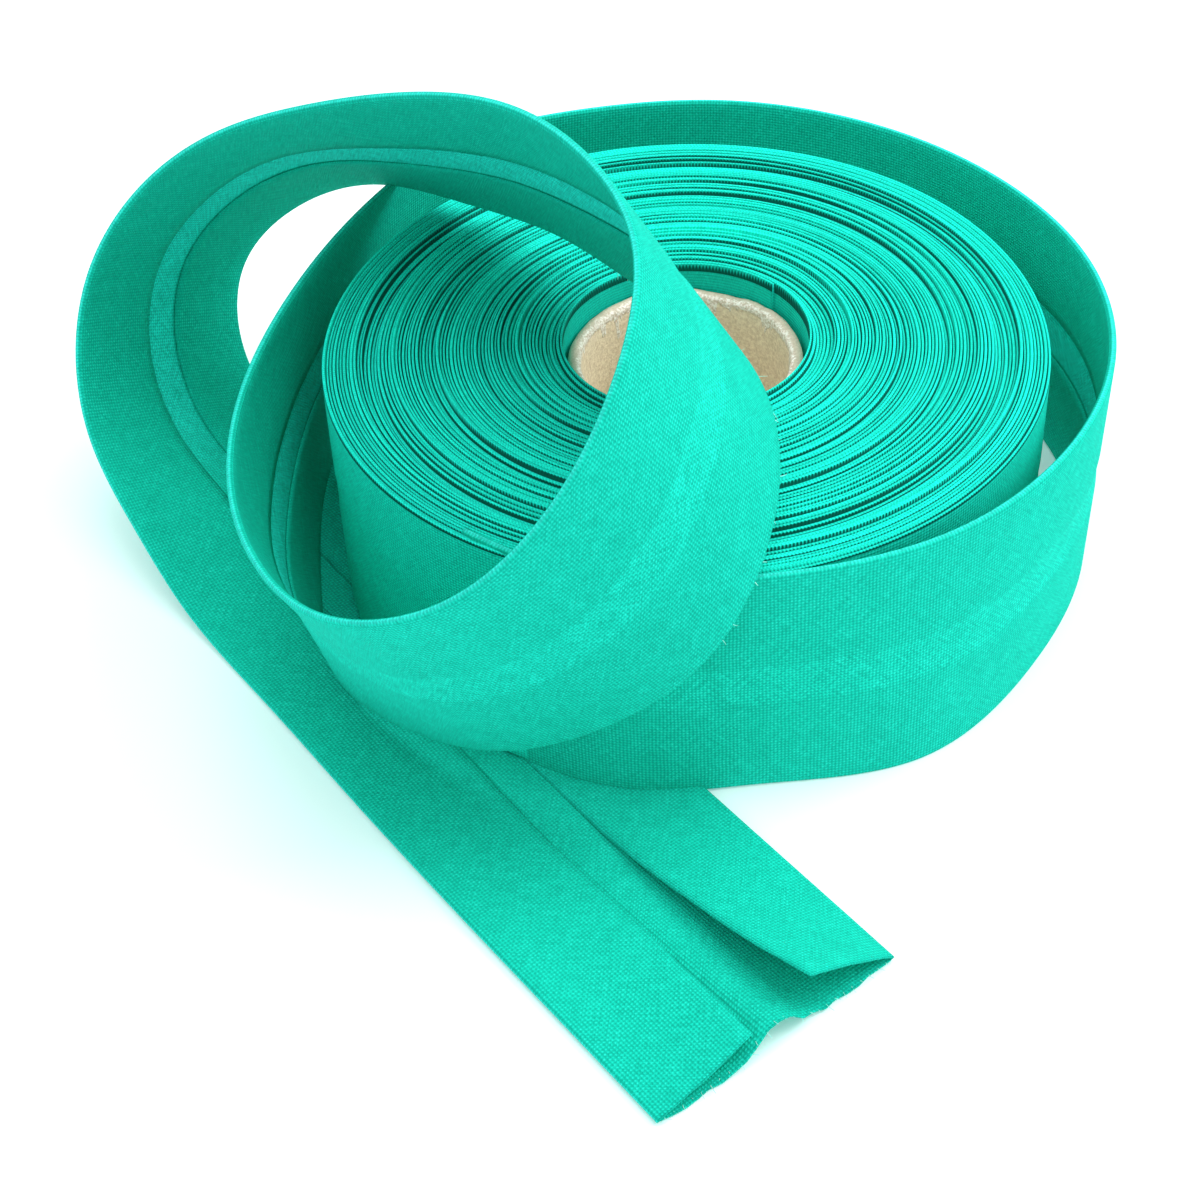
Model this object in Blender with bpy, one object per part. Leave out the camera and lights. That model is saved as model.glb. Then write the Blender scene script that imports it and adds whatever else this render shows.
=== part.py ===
"""Roll of folded bias binding on a cardboard core, with its outer turn let loose.

The tape is one long strip cut on the bias, with both of its raw edges folded in. It is wound edge up on
a cardboard tube. The outermost turn has sprung away from the roll, crosses in front of it, curls up and
back over it, and comes down on the left, so that its cut end lies on the floor and runs out under the
roll towards the front.

Frame: metres, +Z up, resting on z = 0, with the origin under the middle of the whole footprint.
"""

import math
from typing import NamedTuple

import bmesh
import bpy
import numpy as np
from mathutils import Matrix, Vector

MM = 0.001
GAP = 0.3 * MM                      # kept between neighbouring pieces

TAPE_WIDTH = 40.0 * MM              # the folded tape, and so the height of the roll
TAPE_LAYER = 1.0 * MM               # one layer of the cloth
TAPE_AIR = 0.4 * MM                 # between the tape's two layers
TAPE_STACK = 2 * TAPE_LAYER + TAPE_AIR
FLAP_WIDTH = 16.5 * MM              # each folded-in edge
FOLD_ROUND = 0.45 * MM              # corner taken off along both folds
TAPE_STEPS = 92                     # lengths that the loose tape is divided into

ROLL_RADIUS = 52.5 * MM
ROLL_BORE = 17.7 * MM
ROLL_SEGMENTS = 72
STEP_MARGIN = 2.2 * MM              # beside the tape's edge, where the roll lies over its end

CORE_RADIUS = ROLL_BORE - GAP
CORE_BORE = 15.5 * MM
CORE_TOP = 36.5 * MM
CORE_FLOOR = 0.3 * MM
CORE_LIP = 0.6 * MM                 # rounding of the tube's ends
CORE_SEGMENTS = 64

TEAL = (0.012, 0.50, 0.40)
KRAFT = (0.55, 0.45, 0.36)


class TopStep(NamedTuple):
    """Height of the wound turns' upper edges out to one radius, both in millimetres."""

    radius: float
    height: float


class Station(NamedTuple):
    """Both folds of the loose tape at one place along it, in millimetres from the roll's axis."""

    top_x: float
    top_y: float
    top_z: float
    low_x: float
    low_y: float
    low_z: float


class Opening(NamedTuple):
    """How far the free end has opened out, at a share of the tape's whole length."""

    share: float
    arch_mm: float
    top_flap_deg: float
    low_flap_deg: float


# The turns don't lie quite level: some bands of them have slipped a little down or up.
TOP_STEPS = (
    TopStep(17.7, 39.0),
    TopStep(19.5, 39.9),
    TopStep(24.0, 39.6),
    TopStep(28.0, 40.2),
    TopStep(33.0, 39.5),
    TopStep(37.5, 40.0),
    TopStep(42.0, 39.4),
    TopStep(46.5, 39.9),
    TopStep(50.5, 39.3),
    TopStep(51.9, 39.4),
    TopStep(52.5, 38.8),
)

# From where the tape leaves the roll at the front, round it anticlockwise, up over it, and to the cut end.
STATIONS = (
    Station(12.5, -54.0, 40.0, 12.5, -54.0, 0.0),
    Station(33.0, -47.5, 40.0, 33.0, -47.5, 0.0),
    Station(51.0, -30.0, 40.0, 51.0, -30.0, 0.0),
    Station(61.0, -7.5, 40.0, 61.0, -7.5, 0.0),
    Station(61.5, 17.5, 40.0, 61.5, 17.5, 0.0),
    Station(51.5, 40.0, 40.0, 51.5, 40.0, 0.0),
    Station(32.5, 57.0, 40.0, 32.5, 57.0, 0.0),
    Station(9.0, 65.5, 40.0, 9.0, 65.0, 0.0),
    Station(-16.0, 64.5, 40.5, -16.0, 65.5, 0.5),
    Station(-38.0, 54.5, 41.0, -39.0, 55.0, 2.5),
    Station(-51.5, 36.5, 41.5, -53.5, 37.0, 5.0),
    Station(-59.0, 14.0, 43.0, -60.0, 14.5, 6.0),
    Station(-64.0, -10.5, 42.5, -59.5, -10.0, 5.0),
    Station(-62.5, -34.5, 42.0, -52.0, -33.0, 4.0),
    Station(-55.0, -54.0, 43.5, -37.5, -48.5, 7.5),
    Station(-44.5, -66.5, 46.5, -24.5, -57.5, 13.0),
    Station(-29.5, -72.5, 54.0, -9.5, -60.5, 21.5),
    Station(-16.0, -69.5, 66.0, 4.0, -58.5, 33.5),
    Station(-8.0, -62.0, 80.5, 11.5, -50.5, 46.5),
    Station(-5.5, -43.5, 85.5, 11.5, -31.5, 51.5),
    Station(-11.0, -25.0, 86.0, 5.0, -13.5, 51.0),
    Station(-21.5, -8.0, 84.0, -6.0, 2.0, 49.0),
    Station(-37.0, 4.0, 80.0, -18.5, 18.0, 48.0),
    Station(-53.5, 13.5, 74.5, -33.5, 31.5, 47.0),
    Station(-69.5, 19.5, 66.5, -49.0, 43.0, 45.5),
    Station(-83.5, 22.0, 53.0, -65.0, 50.0, 33.0),
    Station(-92.0, 18.5, 40.0, -76.0, 48.0, 18.5),
    Station(-95.0, 12.5, 28.5, -76.5, 40.5, 6.5),
    Station(-93.0, 5.0, 17.0, -69.0, 32.0, 0.0),
    Station(-86.0, -4.5, 7.0, -59.0, 21.5, 0.0),
    Station(-77.0, -17.5, 1.0, -47.0, 8.5, 0.0),
    Station(-63.0, -35.0, 0.0, -32.5, -9.5, 0.0),
    Station(-48.0, -54.5, 0.0, -17.0, -29.5, 0.0),
    Station(-32.5, -74.0, 0.0, -1.5, -49.5, 0.0),
    Station(-17.0, -93.5, 0.0, 14.0, -69.0, 0.0),
    Station(-5.0, -108.5, 0.0, 26.0, -84.0, 0.0),
)

# Under the roll the end lies pressed flat. Past it the middle arches up and both flaps lift.
OPENINGS = (
    Opening(0.00, 0.0, 0.0, 0.0),
    Opening(0.94, 0.0, 0.0, 0.0),
    Opening(0.96, 0.7, 1.0, 4.0),
    Opening(0.98, 2.0, 2.0, 11.0),
    Opening(1.00, 3.4, 4.0, 18.0),
)


def clear_scene() -> None:
    """Remove whatever the file opened with."""
    for item in list(bpy.data.objects):
        bpy.data.objects.remove(item, do_unlink=True)


def make_material(name: str, colour: tuple, roughness: float) -> bpy.types.Material:
    """A plain non-metallic surface of one colour."""
    material = bpy.data.materials.new(name)
    material.use_nodes = True
    shader = material.node_tree.nodes["Principled BSDF"]
    shader.inputs["Base Color"].default_value = (*colour, 1.0)
    shader.inputs["Roughness"].default_value = roughness
    shader.inputs["Metallic"].default_value = 0.0
    return material


def make_object(name: str, bm: bmesh.types.BMesh, material: bpy.types.Material) -> bpy.types.Object:
    """Turn a bmesh into a named, smooth-shaded object of the scene."""
    bmesh.ops.recalc_face_normals(bm, faces=bm.faces)
    mesh = bpy.data.meshes.new(name)
    bm.to_mesh(mesh)
    bm.free()
    mesh.materials.append(material)
    mesh.shade_smooth()
    mesh.set_sharp_from_angle(angle=math.radians(40))
    item = bpy.data.objects.new(name, mesh)
    bpy.context.scene.collection.objects.link(item)
    return item


def turned(profile: list, segments: int) -> bmesh.types.BMesh:
    """Spin a closed (radius, height) outline once around Z."""
    bm = bmesh.new()
    ring = [bm.verts.new((radius, 0.0, height)) for radius, height in profile]
    edges = [bm.edges.new((ring[i - 1], ring[i])) for i in range(len(ring))]
    bmesh.ops.spin(
        bm,
        geom=ring + edges,
        axis=(0, 0, 1),
        cent=(0, 0, 0),
        angle=math.tau,
        steps=segments,
        use_merge=True,
        use_duplicate=False,
    )
    return bm


def spline(knots: np.ndarray, values: np.ndarray, at: np.ndarray) -> np.ndarray:
    """Natural cubic spline through the rows of values, read at the given places."""
    count = len(knots)
    step = np.diff(knots)
    slope = np.diff(values, axis=0) / step[:, None]
    system = np.eye(count)
    bend = np.zeros_like(values)
    for i in range(1, count - 1):
        system[i, i - 1] = step[i - 1]
        system[i, i] = 2 * (step[i - 1] + step[i])
        system[i, i + 1] = step[i]
        bend[i] = 6 * (slope[i] - slope[i - 1])
    bend = np.linalg.solve(system, bend)
    i = np.clip(np.searchsorted(knots, at, side="right") - 1, 0, count - 2)
    span = step[i][:, None]
    near = (at - knots[i])[:, None]
    far = (knots[i + 1] - at)[:, None]
    curve = (bend[i] * far**3 + bend[i + 1] * near**3) / (6 * span)
    line = (values[i] / span - bend[i] * span / 6) * far
    return curve + line + (values[i + 1] / span - bend[i + 1] * span / 6) * near


def tape_frames() -> list:
    """Middle, width direction and inward direction of the loose tape at each of its steps."""
    rows = np.array(STATIONS) * MM
    middle = (rows[:, :3] + rows[:, 3:]) / 2
    across = rows[:, :3] - rows[:, 3:]
    across /= np.linalg.norm(across, axis=1)[:, None]
    knots = np.r_[0.0, np.cumsum(np.linalg.norm(np.diff(middle, axis=0), axis=1))]
    at = np.linspace(0.0, knots[-1], TAPE_STEPS + 1)
    centres = spline(knots, middle, at)
    widths = spline(knots, across, at)
    along = np.gradient(centres, at, axis=0)
    frames = []
    for centre, width, heading in zip(centres, widths, along):
        tangent = Vector(heading).normalized()
        wide = Vector(width)
        wide = (wide - tangent * wide.dot(tangent)).normalized()
        place = Vector(centre)
        place.z = max(place.z, abs(wide.z) * TAPE_WIDTH / 2)
        frames.append((place, wide, wide.cross(tangent)))
    return frames


def opening_at(share: float) -> Opening:
    """Read the free end's opening at a share of the tape's length."""
    table = np.array(OPENINGS)
    return Opening(*(float(np.interp(share, table[:, 0], column)) for column in table.T))


def flap_outline(lift: float) -> list:
    """One flap's outline from its fold out to its raw edge and back, as (width, height) pairs."""
    fold = TAPE_WIDTH / 2
    raw = fold - FLAP_WIDTH
    inner = TAPE_LAYER + TAPE_AIR
    outline = [(fold - FOLD_ROUND, 0.0), (fold, FOLD_ROUND), (fold, TAPE_STACK - FOLD_ROUND)]
    upper = [(width, TAPE_STACK) for width in np.linspace(fold - FOLD_ROUND, raw, 4)]
    under = [(width, inner) for width in np.linspace(raw, fold - TAPE_LAYER, 4)]
    for width, height in upper + under:
        reach = fold - width
        outline.append((fold - reach * math.cos(lift), height + reach * math.sin(lift)))
    outline.append((fold - TAPE_LAYER, TAPE_LAYER))
    return outline


def tape_section(opening: Opening) -> list:
    """Closed outline of the folded tape: its base, and a flap folded in over each side of it."""
    top = flap_outline(math.radians(opening.top_flap_deg))
    low = flap_outline(math.radians(opening.low_flap_deg))
    inside = [(width, TAPE_LAYER) for width in (10 * MM, 0.0, -10 * MM)]
    outside = [(width, 0.0) for width in (-10 * MM, 0.0, 10 * MM)]
    loop = top + inside + [(-width, height) for width, height in reversed(low)] + outside
    arch = opening.arch_mm * MM
    half = TAPE_WIDTH / 2
    return [(width, height + arch * max(0.0, 1 - (width / half) ** 2)) for width, height in loop]


def build_tape(material: bpy.types.Material) -> bpy.types.Object:
    """The loose turn, loop and free end: one folded sheet, swept along its stations."""
    bm = bmesh.new()
    rings = []
    for step, (centre, wide, inward) in enumerate(tape_frames()):
        section = tape_section(opening_at(step / TAPE_STEPS))
        points = [centre + wide * width + inward * height for width, height in section]
        rings.append([bm.verts.new(point) for point in points])
    count = len(rings[0])
    for ring, following in zip(rings, rings[1:]):
        for i in range(count):
            bm.faces.new((ring[i - 1], ring[i], following[i], following[i - 1]))
    bm.faces.new(rings[0])
    bm.faces.new(reversed(rings[-1]))
    return make_object("loose_tape", bm, material)


def roll_profile() -> list:
    """Outline of the wound turns: level underneath, uneven above, rounded at the outer corner."""
    upper = [(row.radius * MM, row.height * MM) for row in TOP_STEPS]
    lower = [(ROLL_RADIUS, 0.6 * MM), (ROLL_RADIUS - 0.6 * MM, 0.0), (ROLL_BORE, 0.0)]
    return upper + lower


def tape_side() -> tuple:
    """Middle of the free end's inner fold under the roll, and its direction away from the axis."""
    first = STATIONS[-5]
    last = STATIONS[-3]
    start = Vector((first.low_x, first.low_y, 0.0)) * MM
    end = Vector((last.low_x, last.low_y, 0.0)) * MM
    run = (end - start).normalized()
    return (start + end) / 2, Vector((run.y, -run.x, 0.0))


def build_roll(material: bpy.types.Material) -> bpy.types.Object:
    """All the tight turns as one ring, pushed up a little where they stand on the tape's free end."""
    roll = make_object("wound_roll", turned(roll_profile(), ROLL_SEGMENTS), material)
    place, outward = tape_side()
    size = 4 * ROLL_RADIUS
    rise = TAPE_STACK + 2 * GAP
    bm = bmesh.new()
    bmesh.ops.create_cube(bm, size=size)
    turn = Matrix.Rotation(math.atan2(outward.y, outward.x), 4, "Z")
    bmesh.ops.rotate(bm, verts=bm.verts, cent=(0, 0, 0), matrix=turn)
    shift = place + outward * (size / 2 - STEP_MARGIN)
    bmesh.ops.translate(bm, verts=bm.verts, vec=(shift.x, shift.y, rise - size / 2))
    cutter = make_object("tape_passage_cutter", bm, material)
    cutter.hide_render = True
    cutter.display_type = "WIRE"
    cut = roll.modifiers.new("tape_passage", "BOOLEAN")
    cut.operation = "DIFFERENCE"
    cut.object = cutter
    return roll


def build_core(material: bpy.types.Material) -> bpy.types.Object:
    """The cardboard tube, a little shorter than the tape is wide, with rounded ends."""
    outline = [
        (CORE_RADIUS - CORE_LIP, CORE_FLOOR),
        (CORE_RADIUS, CORE_FLOOR + CORE_LIP),
        (CORE_RADIUS, CORE_TOP - CORE_LIP),
        (CORE_RADIUS - CORE_LIP, CORE_TOP),
        (CORE_BORE + CORE_LIP, CORE_TOP),
        (CORE_BORE, CORE_TOP - CORE_LIP),
        (CORE_BORE, CORE_FLOOR + CORE_LIP),
        (CORE_BORE + CORE_LIP, CORE_FLOOR),
    ]
    return make_object("core_tube", turned(outline, CORE_SEGMENTS), material)


def centre_on_footprint(items: list) -> None:
    """Move everything so that the origin is under the middle of the whole footprint."""
    corners = [item.matrix_world @ vertex.co for item in items for vertex in item.data.vertices]
    middle_x = (min(c.x for c in corners) + max(c.x for c in corners)) / 2
    middle_y = (min(c.y for c in corners) + max(c.y for c in corners)) / 2
    for item in bpy.data.objects:
        item.location = (-middle_x, -middle_y, 0.0)


def main() -> None:
    """Build the three pieces and centre them."""
    clear_scene()
    cloth = make_material("teal_cotton", TEAL, 0.75)
    board = make_material("kraft_board", KRAFT, 0.9)
    pieces = [build_core(board), build_roll(cloth), build_tape(cloth)]
    centre_on_footprint(pieces)


main()
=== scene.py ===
"""A roll of single-fold bias binding on a cardboard core.

Its last turn has sprung loose, and its end lies under the roll. The pieces are dressed around the
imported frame. Sizes are in metres unless a name ends in _MM.
"""

import logging
import math
from dataclasses import dataclass
from enum import Enum
from typing import ClassVar

import bmesh
import bpy
import numpy as np
from mathutils import Matrix, Vector


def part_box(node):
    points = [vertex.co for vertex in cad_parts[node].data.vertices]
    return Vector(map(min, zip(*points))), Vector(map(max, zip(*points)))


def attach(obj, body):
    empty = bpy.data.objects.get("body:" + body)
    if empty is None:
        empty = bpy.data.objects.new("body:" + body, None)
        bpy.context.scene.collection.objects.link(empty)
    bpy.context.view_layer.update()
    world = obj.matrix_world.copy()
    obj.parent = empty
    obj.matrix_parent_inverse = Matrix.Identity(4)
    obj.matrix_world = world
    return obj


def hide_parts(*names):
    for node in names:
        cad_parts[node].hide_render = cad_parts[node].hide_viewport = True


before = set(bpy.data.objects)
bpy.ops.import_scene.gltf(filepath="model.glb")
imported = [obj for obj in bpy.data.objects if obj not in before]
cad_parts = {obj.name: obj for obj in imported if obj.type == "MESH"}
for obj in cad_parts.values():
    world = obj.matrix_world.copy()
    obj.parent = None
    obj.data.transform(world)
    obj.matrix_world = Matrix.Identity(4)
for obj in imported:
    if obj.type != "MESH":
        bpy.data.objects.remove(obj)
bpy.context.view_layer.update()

MM = 0.001
LOG = logging.getLogger("bias_binding")
Colour = tuple[float, float, float]

# The loose tape's route, in mm from the roll's axis: the top edge's x, y, z, then the low edge's.
# It leaves the roll at the front, goes round it, crosses in front as a band, loops back over the
# roll and comes out flat from under it.
TAPE_ROUTE_MM = (
    (-30, -43, 39.5, -30, -43, 1.1),
    (-22.5, -48.3, 40, -22.5, -48.3, 1.1),
    (-14, -52.2, 40, -14, -52.2, 1.1),
    (-3, -53.9, 40, -3, -53.9, 1),
    (8.5, -53, 40, 9, -52.5, 0.4),
    (32.5, -46, 40, 33, -47.5, 0),
    (51, -30, 40, 50.5, -29.5, 0),
    (61.5, -7.5, 40, 61, -7, 0),
    (61.5, 17.5, 40, 61.5, 17.5, 0),
    (51, 40, 40, 51.5, 40, 0),
    (33, 57, 40, 32.5, 56, 0),
    (9.5, 66, 40, 9, 64.5, 0),
    (-15, 64, 40.5, -16, 66.5, 0.5),
    (-37, 54, 41, -39, 56, 1),
    (-49.5, 37, 41, -54, 39, 1.5),
    (-58.5, 14, 41.5, -59.5, 15, 1.5),
    (-64, -10.5, 40.5, -58, -10, 1),
    (-62.5, -35.5, 40.5, -51, -34, 2),
    (-55, -54, 42, -37.5, -48.5, 6.5),
    (-44.5, -66.5, 46, -24.5, -57.5, 13),
    (-29.5, -72.5, 54, -9.5, -60.5, 21.5),
    (-16, -69, 66, 4, -58, 33),
    (-8, -60, 79, 11.5, -48, 45),
    (-5.5, -42, 84, 11.5, -30, 50),
    (-11, -24, 85, 5, -12.5, 50),
    (-21.5, -8, 83.5, -6, 2, 48.5),
    (-37, 5, 78.5, -18.5, 18.5, 46.5),
    (-53.5, 14, 71.5, -33.5, 32.5, 43.5),
    (-70, 20, 63, -49.5, 44, 40),
    (-84, 21.5, 51.5, -65, 50, 31.5),
    (-92, 18.5, 40, -75, 49, 20.5),
    (-95, 13, 28.5, -76, 42.5, 9),
    (-93, 5, 18, -69.5, 32.5, 1.5),
    (-86, -5.5, 10, -59, 21.5, 0.4),
    (-77, -17.5, 2.5, -47, 8.5, 0.4),
    (-63, -35, 0.4, -32.5, -9.5, 0.4),
    (-48, -55, 0.4, -17, -29.5, 0.4),
    (-32.5, -74.5, 0.4, -1.5, -49.5, 0.4),
    (-17, -94, 0.4, 14, -68.5, 0.4),
    (-4.5, -109.5, 0.4, 26.5, -84, 0.4),
)


class Finish(Enum):
    """The names of the record's material slots for the cloth and the board."""

    CLOTH = "teal_cotton"
    BOARD = "cardboard"


class Side(Enum):
    """Which side of the tape a cloth material is for."""

    OUTER = "the base's face, away from the flaps"
    INNER = "the flaps' face and the strip between them"
    WOUND = "the tight turns, with a groove on each side of a turn"


class Nodes:
    """A short way to add and join shader nodes in one material."""

    def __init__(self, name: str) -> None:
        """Start an empty material called name.

        Args:
            name: The material's name.
        """
        self.material = bpy.data.materials.new(name)
        self.material.use_nodes = True
        self.tree = self.material.node_tree
        self.tree.nodes.clear()

    def add(self, kind: str, **settings: object) -> bpy.types.Node:
        """Add one node.

        Args:
            kind: The node's type name.
            settings: Its properties, set by name.

        Returns:
            The new node.
        """
        node = self.tree.nodes.new(kind)
        for key, value in settings.items():
            setattr(node, key, value)
        return node

    def plug(self, value: object, socket: bpy.types.NodeSocket) -> None:
        """Join value to socket, or set it there if it is a plain value."""
        if isinstance(value, bpy.types.NodeSocket):
            self.tree.links.new(value, socket)
        elif isinstance(value, bpy.types.Node):
            self.tree.links.new(value.outputs[0], socket)
        elif value is not None:
            if isinstance(value, tuple) and len(value) == 3 and socket.type == "RGBA":
                value = (*value, 1.0)
            socket.default_value = value

    def math(
        self, operation: str, a: object, b: object = None, c: object = None
    ) -> bpy.types.NodeSocket:
        """Add a Math node on up to three inputs and return its output."""
        node = self.add("ShaderNodeMath", operation=operation)
        for value, socket in zip((a, b, c), node.inputs):
            self.plug(value, socket)
        return node.outputs[0]

    def mix(self, factor: object, a: object, b: object) -> bpy.types.NodeSocket:
        """Mix two colours by factor and return the colour."""
        node = self.add("ShaderNodeMix", data_type="RGBA", clamp_factor=True)
        self.plug(factor, node.inputs[0])
        self.plug(a, node.inputs[6])
        self.plug(b, node.inputs[7])
        return node.outputs[2]

    def ramp(
        self, value: object, low: float, high: float, to_low: float = 0.0, to_high: float = 1.0
    ) -> bpy.types.NodeSocket:
        """Map value from low..high to to_low..to_high with soft ends, and return it."""
        node = self.add("ShaderNodeMapRange", interpolation_type="SMOOTHSTEP")
        for socket, given in zip(node.inputs, (value, low, high, to_low, to_high)):
            self.plug(given, socket)
        return node.outputs[0]

    def noise(
        self, vector: object, scale: float, detail: float = 2.0, roughness: float = 0.5
    ) -> bpy.types.NodeSocket:
        """Add a noise texture on vector and return its value."""
        node = self.add("ShaderNodeTexNoise")
        self.plug(vector, node.inputs["Vector"])
        node.inputs["Scale"].default_value = scale
        node.inputs["Detail"].default_value = detail
        node.inputs["Roughness"].default_value = roughness
        return node.outputs[0]


@dataclass(frozen=True)
class BiasCotton:
    """Plain-woven cotton cut on the bias, with its threads at 45 degrees to the tape.

    The UV map "cloth" holds metres along and across the cloth. The UV map "turns" holds the turn's
    number and how far across its edge a point is.
    """

    base: Colour = (0.009, 0.68, 0.51)
    flap: Colour = (0.008, 0.66, 0.49)
    edge: Colour = (0.014, 1.0, 0.80)
    # Painted highlight: a pale band along the outer fold edge, and the glint on the weave's raised
    # dots.
    painted_highlight: Colour = (0.06, 1.0, 0.90)
    # Painted shade in the weave's hollows between the threads; also the darker random tone of some
    # turns.
    shade_and_tone_dark: Colour = (0.001, 0.15, 0.10)
    # Painted shade in the grooves between the tight turns.
    gap: Colour = (0.0008, 0.06, 0.04)
    stray: Colour = (0.8, 1.0, 0.97)
    # Painted light through the single layer between the flaps: single on the outer face, backlit on
    # the loop's inner face; shaded is the same strip painted darker where the tape lies on the
    # table.
    single: Colour = (0.012, 0.80, 0.61)
    backlit: Colour = (0.03, 1.0, 0.88)
    shaded: Colour = (0.008, 0.66, 0.49)
    lying_from: float = 0.62
    lying_over: float = 30 * MM
    pitch: float = 0.36 * MM
    roughness: float = 0.9
    specular: float = 0.04
    sheen: float = 0.08
    sheen_tint: Colour = (0.05, 1.0, 0.88)
    weave_height: float = 0.2 * MM
    weave_shade: float = 0.46
    thread_wobble: float = 1.6
    strip: float = 3.5 * MM
    fold_middle: float = 20.2 * MM
    # Width of the painted highlight along the fold edge.
    fold_highlight_width: float = 0.35 * MM
    glint: ClassVar[dict[Side, float]] = {Side.OUTER: 0.35, Side.INNER: 0.35, Side.WOUND: 0.15}
    # How strongly the painted light through the single layer shows on each side, from the threads'
    # streaks.
    thin: ClassVar[dict[Side, tuple[float, float]]] = {
        Side.OUTER: (0.2, 0.9),
        Side.INNER: (0.65, 1.0),
        Side.WOUND: (0.0, 0.0),
    }

    def make(self, name: str, side: Side, weave: float = 1.0) -> bpy.types.Material:
        """Make the material.

        Args:
            name: The material's name.
            side: Which side of the cloth it is for.
            weave: How strongly the weave shows, 1 for open cloth.

        Returns:
            The material.
        """
        n = Nodes(name)
        uv = n.add("ShaderNodeUVMap", uv_map="cloth")
        turn = n.add("ShaderNodeMapping")
        n.plug(uv.outputs[0], turn.inputs[0])
        turn.inputs["Rotation"].default_value = (0, 0, math.radians(45))
        turn.inputs["Scale"].default_value = (math.pi / self.pitch, math.pi / self.pitch, 1)
        wobble = n.noise(uv.outputs[0], 260, 1)
        threads = n.add("ShaderNodeSeparateXYZ")
        n.plug(turn.outputs[0], threads.inputs[0])
        sway = self.thread_wobble
        warp = n.math("COSINE", n.math("MULTIPLY_ADD", wobble, sway, threads.outputs[0]))
        weft = n.math("COSINE", n.math("MULTIPLY_ADD", wobble, sway, threads.outputs[1]))
        dots = n.math("MULTIPLY_ADD", n.math("MULTIPLY", warp, weft), 0.5, 0.5)
        ribs = n.math("MULTIPLY", n.math("ABSOLUTE", warp), 0.2)
        height = n.math("MULTIPLY_ADD", dots, 0.8, ribs)
        slub = n.noise(self.along_thread(n, turn, (0.03, 0.5, 1)), 1, 1)
        slub_across = n.noise(self.along_thread(n, turn, (0.5, 0.03, 1)), 1, 1)
        streak = n.math("SUBTRACT", n.math("ADD", slub, slub_across), 1.0)
        patch = n.noise(uv.outputs[0], 60, 3)
        lit = n.math("MULTIPLY_ADD", streak, 1.0, dots)
        # Painted shade: the weave's hollows between the raised dots are darkened; patch adds a
        # random tone on top.
        shade = n.ramp(lit, 0.05, 0.9, 1.0 - self.weave_shade * weave, 1.0)
        tone = n.math("MULTIPLY_ADD", n.math("SUBTRACT", patch, 0.5), 0.16, shade)
        lie = n.add("ShaderNodeSeparateXYZ")
        n.plug(uv.outputs[0], lie.inputs[0])
        off_middle = n.math("ABSOLUTE", lie.outputs[1])
        # Painted light through the single layer of the strip between the raw edges, following the
        # threads' streaks.
        lit_through_strip_mask = n.ramp(off_middle, self.strip - 0.4 * MM, self.strip + 0.3 * MM, 1.0, 0.0)
        thin = n.math("MULTIPLY", lit_through_strip_mask, n.ramp(streak, -0.35, 0.35, *self.thin[side]))
        if side is Side.INNER:
            # The strip is painted lit through on the loop and painted shaded where the tape lies on
            # the table.
            lying = n.ramp(lie.outputs[0], self.lying_from, self.lying_from + self.lying_over)
            cloth = n.mix(thin, self.flap, n.mix(lying, self.backlit, self.shaded))
        elif side is Side.OUTER:
            folded = n.ramp(off_middle, 19.5 * MM, 21 * MM)
            off_fold = n.math("ABSOLUTE", n.math("SUBTRACT", off_middle, self.fold_middle))
            cloth = n.mix(folded, n.mix(thin, self.base, self.single), self.flap)
            # Painted highlight along the fold edge.
            cloth = n.mix(n.ramp(off_fold, 0.05 * MM, self.fold_highlight_width, 0.55, 0.0), cloth, self.painted_highlight)
        else:
            cloth = self.edge
        # Painted shade in the weave's hollows, together with the random patch tone.
        colour = n.mix(tone, self.shade_and_tone_dark, cloth)
        # Painted highlight (glint) on the weave's raised dots.
        colour = n.mix(n.ramp(lit, 0.8, 1.25, 0.0, self.glint[side]), colour, self.painted_highlight)
        if side is Side.WOUND:
            colour = self.groove(n, colour, lie.outputs[0])
        bump = n.add("ShaderNodeBump")
        bump.inputs["Strength"].default_value = 0.8 * weave
        bump.inputs["Distance"].default_value = self.weave_height
        n.plug(height, bump.inputs["Height"])
        shader = n.add("ShaderNodeBsdfPrincipled")
        n.plug(colour, shader.inputs["Base Color"])
        n.plug(bump.outputs[0], shader.inputs["Normal"])
        shader.inputs["Roughness"].default_value = self.roughness
        shader.inputs["Specular IOR Level"].default_value = self.specular
        shader.inputs["Sheen Weight"].default_value = self.sheen
        shader.inputs["Sheen Roughness"].default_value = 0.5
        shader.inputs["Sheen Tint"].default_value = (*self.sheen_tint, 1.0)
        out = n.add("ShaderNodeOutputMaterial")
        n.plug(shader, out.inputs[0])
        return n.material

    def fibre(self, name: str) -> bpy.types.Material:
        """Make the finish of single fibres, which show paler than the cloth."""
        n = Nodes(name)
        place = n.add("ShaderNodeTexCoord").outputs["Object"]
        shader = n.add("ShaderNodeBsdfPrincipled")
        n.plug(n.mix(n.noise(place, 900), self.edge, self.stray), shader.inputs["Base Color"])
        shader.inputs["Roughness"].default_value = self.roughness
        out = n.add("ShaderNodeOutputMaterial")
        n.plug(shader, out.inputs[0])
        return n.material

    @staticmethod
    def along_thread(n: Nodes, turned: bpy.types.Node, scale: Colour) -> bpy.types.NodeSocket:
        """Stretch the threads' coordinates, for marks that run along a thread."""
        stretch = n.add("ShaderNodeMapping")
        n.plug(turned.outputs[0], stretch.inputs[0])
        stretch.inputs["Scale"].default_value = scale
        return stretch.outputs[0]

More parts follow.
